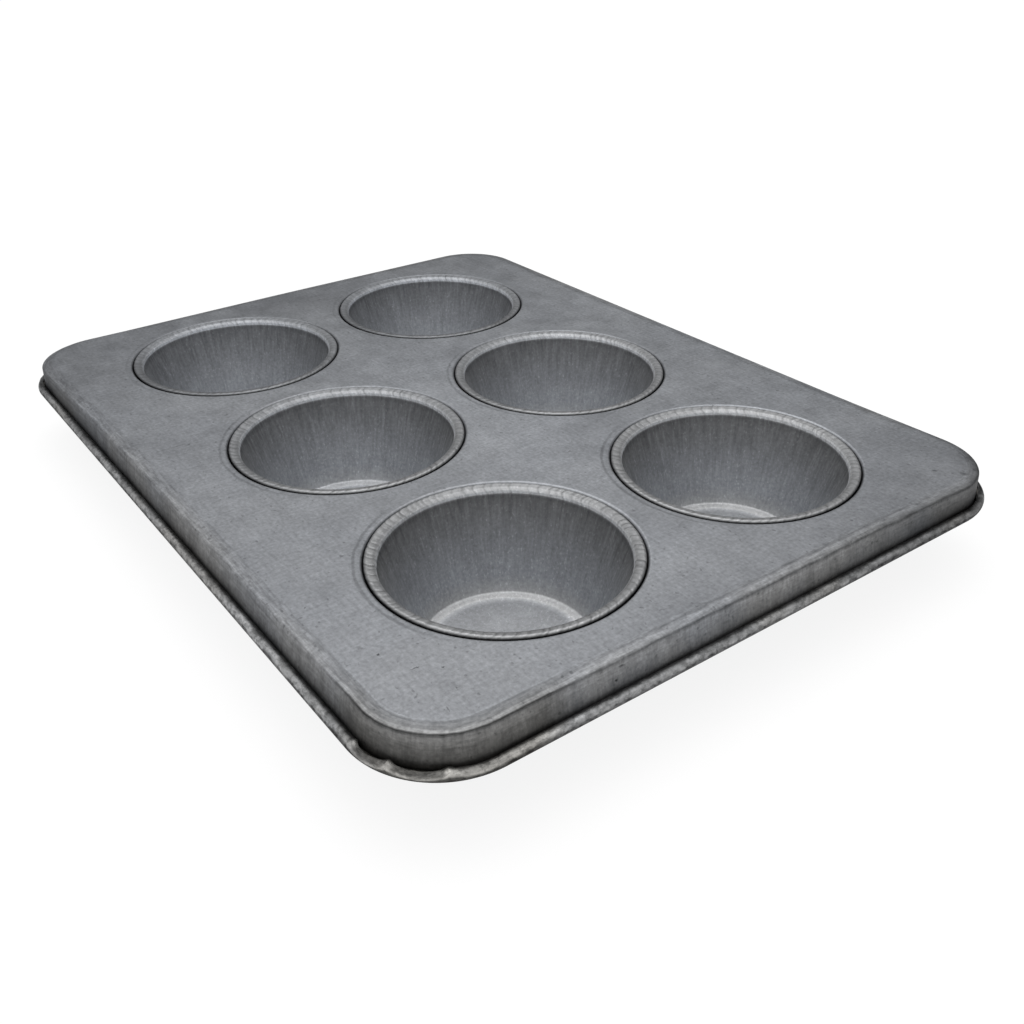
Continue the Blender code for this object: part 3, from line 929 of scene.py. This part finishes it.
# %% Frame sheet
def make_frame_sheet():
    bm = bmesh.new()
    swept_edge(bm)
    straighten(bm)
    pucker(bm)
    hole = dished_hole()
    for name in CUPS:
        hole.transform(Matrix.Translation((*middle_of(name).xy, 0.0)))
        bm.from_mesh(hole)
        hole.transform(Matrix.Translation((*-middle_of(name).xy, 0.0)))
    flat = [edge for edge in bm.edges if edge.is_boundary
            and all(abs(end.co.z - SHEET_TOP) < 0.001 * MM for end in edge.verts)]
    bmesh.ops.triangle_fill(bm, edges=flat, use_beauty=True, normal=(0, 0, 1))
    bmesh.ops.recalc_face_normals(bm, faces=bm.faces)
    if max(bm.faces, key=lambda face: abs(face.normal.z) * face.calc_area()).normal.z < 0:
        bmesh.ops.reverse_faces(bm, faces=bm.faces)
    mesh = as_mesh(bm, "frame_sheet_surface")
    runs = mesh.attributes["run"].data
    edges, ways = [], []
    middles = [middle_of(name).xy for name in CUPS]
    for k, vert in enumerate(mesh.vertices):
        base, out = edge_place(vert.co)
        edges.append((*(base + out * CORNER_RADIUS), runs[k].value))
        way = min((vert.co.xy - middle for middle in middles), key=lambda away: away.length)
        ways.append((*way.normalized(), 0.0))
    keep_vector(mesh, "edge", edges)
    keep_vector(mesh, "from_cup", ways)
    piece = pressed("frame_sheet_fine", mesh, sheet_metal)
    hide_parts("frame_sheet")
    return piece


frame_sheet = make_frame_sheet()
print("frame sheet:", len(frame_sheet.data.polygons), "faces")

# %% [markdown]
# A cup is a turned shape, so its section is spun: the floor, the fillet, the wall, and the bead
# that rolls over the mouth, goes down inside the collar and folds up behind it. The crimps on
# the bead are real shape, cut by hand-like random spacing into the spun mesh, because a bump map
# alone would leave the bead's outline too clean.

# %% Section of a cup
CUP_STEPS = 900
FILLET_IN, FILLET_OUT = 3.0 * MM, 0.25 * MM   # where the two bends lie from the floor's radius
FILLET_RISE = 0.8 * MM                        # from the floor to the outer of the two
INNER_BEND, OUTER_BEND = 1.9 * MM, 1.3 * MM   # of the bead, at the mouth and over the hole
FILLET_RADII = 2.0 * MM, 1.2 * MM            # inner and outer
BEAD_TILT = math.radians(9)                   # the bead's top falls a little towards the mouth


def round_off(before, corner, after, radius, steps):
    """Points of an arc that rounds off a corner of a line."""
    before, corner, after = Vector(before), Vector(corner), Vector(after)
    back, on = (before - corner).normalized(), (after - corner).normalized()
    half = back.angle(on) / 2
    centre = corner + (back + on).normalized() * radius / math.sin(half)
    start = corner + back * radius / math.tan(half) - centre
    turn = (math.pi - 2 * half) * (1 if back.cross(on) < 0 else -1)
    return [tuple(centre + Matrix.Rotation(turn * k / steps, 2) @ start) for k in range(steps + 1)]


def cup_section():
    """(radius, height, run) from the middle of the floor to the end of the folded edge."""
    lip = (MOUTH_RADIUS, SHEET_TOP - LIP_DROP)
    on_floor = (FLOOR_RADIUS - FILLET_IN, CUP_FLOOR)
    on_wall = (FLOOR_RADIUS + FILLET_OUT, CUP_FLOOR + FILLET_RISE)
    low_bend = round_off((0.0, CUP_FLOOR), on_floor, on_wall, FILLET_RADII[0], 4)
    high_bend = round_off(on_floor, on_wall, lip, FILLET_RADII[1], 5)
    over = CAD_BOX[1].z + OUTER_BEND * (1 / math.cos(BEAD_TILT) + math.tan(BEAD_TILT) - 1)
    inner = (MOUTH_RADIUS, over - BEAD_WIDTH * math.tan(BEAD_TILT))
    outer = (BEAD_RADIUS, over)
    low = (BEAD_RADIUS, COLLAR_LOW - FIT)
    inner_bend = round_off(lip, inner, outer, INNER_BEND, 8)
    outer_bend = round_off(inner, outer, low, OUTER_BEND, 8)
    points = between((0.0, CUP_FLOOR), low_bend[0], 4) + low_bend + high_bend[:-1] \
        + between(high_bend[-1], lip, 10) + [lip] + inner_bend[:-1] \
        + between(inner_bend[-1], outer_bend[0], 3) + outer_bend \
        + [low, (HOOK_RADIUS, low[1]), (HOOK_RADIUS, COLLAR_LOW + HOOK_LAP)]
    made = with_run(points)
    to_lip = made[points.index(lip)][2]
    return [(r, z, run - to_lip) for r, z, run in made]


cup_line = cup_section()
print("cup section:", len(cup_line), "points from", round(cup_line[0][2] / MM, 1), "to",
      round(cup_line[-1][2] / MM, 1), "mm from the lip")


# %% Crimps of a bead
CRIMP_DEPTH = 0.21 * MM
SOFT_SIDE, SHARP_SIDE = 0.9, 0.35       # how wide a crease is on either side, in degrees
CRIMP_SLANT = 0.8             # degrees that a crimp leans over the width of the bead
CRIMP_BOW = 2.0               # degrees that its ends lie behind its middle
# large and small folds: least and most degrees between two, the shallowest depth, the share
FOLD_SETS = ((2.6, 5.6, 0.4, 0.80), (1.1, 2.4, 0.1, 0.45))


def folds_round(draw, least, most, shallow):
    """Places of folds round a circle in degrees, and how deep each is."""
    places = [0.0]
    while places[-1] < 360 - least:
        places.append(places[-1] + draw.uniform(least, most))
    places[-1] = 360.0
    depths = [draw.uniform(shallow, 1.0) for _ in places[:-1]]
    return places, depths + depths[:1]


def crimps(seed):
    """Round a bead, for each of many steps, how deep the crimp there is, from 0 to 1."""
    draw = random.Random(seed)
    made = [0.0] * (4 * CUP_STEPS)
    for least, most, shallow, share in FOLD_SETS:
        places, depths = folds_round(draw, least, most, shallow)
        k = 0
        for step in range(len(made)):
            angle = 360 * step / len(made)
            while angle >= places[k + 1]:
                k += 1
            after = depths[k] * math.exp(-(angle - places[k]) / SOFT_SIDE)
            before = depths[k + 1] * math.exp(-(places[k + 1] - angle) / SHARP_SIDE)
            made[step] += share * max(after, before)
    return made


first_bead = crimps(seed=0)
print("crimps of the first bead: mean depth",
      round(CRIMP_DEPTH / MM * sum(first_bead) / len(first_bead), 2), "mm")


# %% Turned cup
def plain_cup():
    """The visible side of a cup without crimps, about the Z axis."""
    bm = bmesh.new()
    turn_round(bm, draw_line(bm, [((r, 0.0, z), run) for r, z, run in cup_line]), CUP_STEPS)
    bmesh.ops.recalc_face_normals(bm, faces=bm.faces)
    if min(bm.faces, key=lambda face: face.calc_center_median().xy.length_squared).normal.z < 0:
        bmesh.ops.reverse_faces(bm, faces=bm.faces)
    bm.normal_update()
    return as_mesh(bm, "plain_cup")


PLAIN_CUP = plain_cup()
print("turned cup:", len(PLAIN_CUP.polygons), "faces")

# %% [markdown]
# Every cup is a copy of the turned one, with crimps of its own pressed into the bead along the
# surface's own direction. It also stores how deep each point was pressed, because the finish draws
# the crimps darker, and its unrolled place, moved on a little from cup to cup, so that no two cups
# have the same draw lines.

# %% Cups
BEAD_MIDDLE, BEAD_WIDE = 3.2 * MM, 5.0 * MM     # along the metal, from the lip
CRIMP_REACH = [(-1.5 * MM, 0.0), (1.0 * MM, 0.8), (5.0 * MM, 1.0), (6.6 * MM, 0.6),
               (7.6 * MM, 0.0)]     # how much of a crimp there is along the metal
OTHER_LINES = 0.3             # metres from the draw lines of one cup to those of the next


def crimp_share(run):
    """How much of a crimp there is at this length from the lip, from 0 to 1."""
    if not CRIMP_REACH[0][0] < run < CRIMP_REACH[-1][0]:
        return 0.0
    (a, low), (b, high) = next(pair for pair in zip(CRIMP_REACH, CRIMP_REACH[1:])
                               if run <= pair[1][0])
    return low + (high - low) * (run - a) / (b - a)


def make_cup(node, seed):
    centre = middle_of(node)
    bm = bmesh.new()
    bm.from_mesh(PLAIN_CUP)
    bm.normal_update()
    runs = bm.verts.layers.float["run"]
    crimp = bm.verts.layers.float.new("crimp")
    depths = crimps(seed)
    moves = []
    for vert in bm.verts:
        run = vert[runs]
        share = crimp_share(run)
        if share == 0:
            continue
        angle = math.degrees(math.atan2(vert.co.y, vert.co.x)) + CRIMP_SLANT * run / BEAD_WIDE
        angle += CRIMP_BOW * ((run - BEAD_MIDDLE) / BEAD_MIDDLE) ** 2
        depth = share * depths[round(angle % 360 / 360 * len(depths)) % len(depths)]
        vert[crimp] = depth
        moves.append((vert, vert.normal * -CRIMP_DEPTH * depth))
    for vert, move in moves:
        vert.co += move
    bmesh.ops.translate(bm, verts=bm.verts, vec=(*centre.xy, 0.0))
    mesh = as_mesh(bm, node + "_surface")
    drawn = []
    for vert, run in zip(mesh.vertices, mesh.attributes["run"].data):
        way = Vector((vert.co.x - centre.x, vert.co.y - centre.y))
        way = way.normalized() * MOUTH_RADIUS if way.length > 0 else way
        drawn.append((way.x, way.y, run.value + OTHER_LINES * seed))
    keep_vector(mesh, "drawn", drawn)
    piece = pressed(node + "_fine", mesh, cup_metal)
    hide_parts(node)
    return piece


cups = [make_cup(node, seed) for seed, node in enumerate(CUPS)]
print("cups:", {cup.name: len(cup.data.polygons) for cup in cups})

# %% [markdown]
# The stage is plain: a pale floor that stays white round the pan but keeps a soft shadow.
# Instead of more light, the floor gives off part of its white by itself, to the camera and to
# reflections alike, so that the metal shows the same floor that the eye sees.

# %% Floor and lights
FLOOR_REACH = 8.0             # metres
OWN_WHITE = 0.86              # the share of the floor's white that it gives off by itself


def pale_floor():
    """Plain paper: white where the eye or a reflection sees it, and it still takes a shadow."""
    material, tree = new_material("pale_floor")
    ray = add(tree, "LightPath")
    seen = add(tree, "Math", {0: ray.outputs["Is Camera Ray"], 1: ray.outputs["Is Glossy Ray"]},
               operation="MAXIMUM")
    seen = add(tree, "Math", {0: seen, 1: ray.outputs["Is Transmission Ray"]},
               operation="MAXIMUM")
    paper = add(tree, "BsdfDiffuse", {"Color": linear("#f4f4f4")})
    glow = add(tree, "Emission", {"Color": (1, 1, 1, 1), "Strength": 1.0})
    both = add(tree, "MixShader", {0: times(tree, seen, OWN_WHITE), 1: paper, 2: glow})
    add(tree, "OutputMaterial", {"Surface": both})
    return material


def make_floor():
    bm = bmesh.new()
    bmesh.ops.create_circle(bm, cap_ends=True, segments=64, radius=FLOOR_REACH)
    mesh = as_mesh(bm, "floor")
    mesh.materials.append(pale_floor())
    floor = bpy.data.objects.new("floor", mesh)
    bpy.context.scene.collection.objects.link(floor)


# how bright the sky is by its height, from the horizon at 0 to overhead at 1
SKY_LEVELS = [(0.0, 1.0), (0.07, 1.0), (0.17, 0.50), (0.40, 0.52), (0.62, 0.86), (1.0, 2.3)]
SKY_SIDE = (-0.58, -0.81, 0.0)     # the side from which a little more light comes


def soft_sky():
    """Pale at the horizon, dimmer above it, and brightest overhead, like a room with a big
    soft light in its ceiling."""
    world = bpy.data.worlds.new("studio")
    world.use_nodes = True
    tree = world.node_tree
    tree.nodes.clear()
    way = add(tree, "TexCoord").outputs["Generated"]
    up = add(tree, "SeparateXYZ", {"Vector": way}).outputs["Z"]
    aside = add(tree, "VectorMath", {0: way, 1: SKY_SIDE}, operation="DOT_PRODUCT")
    sky = add(tree, "Background", {
        "Color": level_of(tree, up, SKY_LEVELS),
        "Strength": level_of(tree, aside.outputs["Value"], [(-1, 0.9), (1, 1.1)])})
    add(tree, "OutputWorld", {"Surface": sky})
    bpy.context.scene.world = world


def soft_lamp(name, azimuth, elevation, distance, size, watts):
    """A round lamp that shines at the origin from this way, in degrees and metres."""
    data = bpy.data.lights.new(name, "AREA")
    data.shape = "DISK"
    data.size = size
    data.energy = watts
    lamp = bpy.data.objects.new(name, data)
    bpy.context.scene.collection.objects.link(lamp)
    way = look_from(azimuth, elevation)
    lamp.location = way * distance
    lamp.rotation_mode = "QUATERNION"
    lamp.rotation_quaternion = way.to_track_quat("Z", "Y")


make_floor()
soft_sky()
soft_lamp("overhead", azimuth=235, elevation=75, distance=1.6, size=1.2, watts=4)
bpy.context.scene.view_settings.view_transform = "Standard"
print("stage ready")
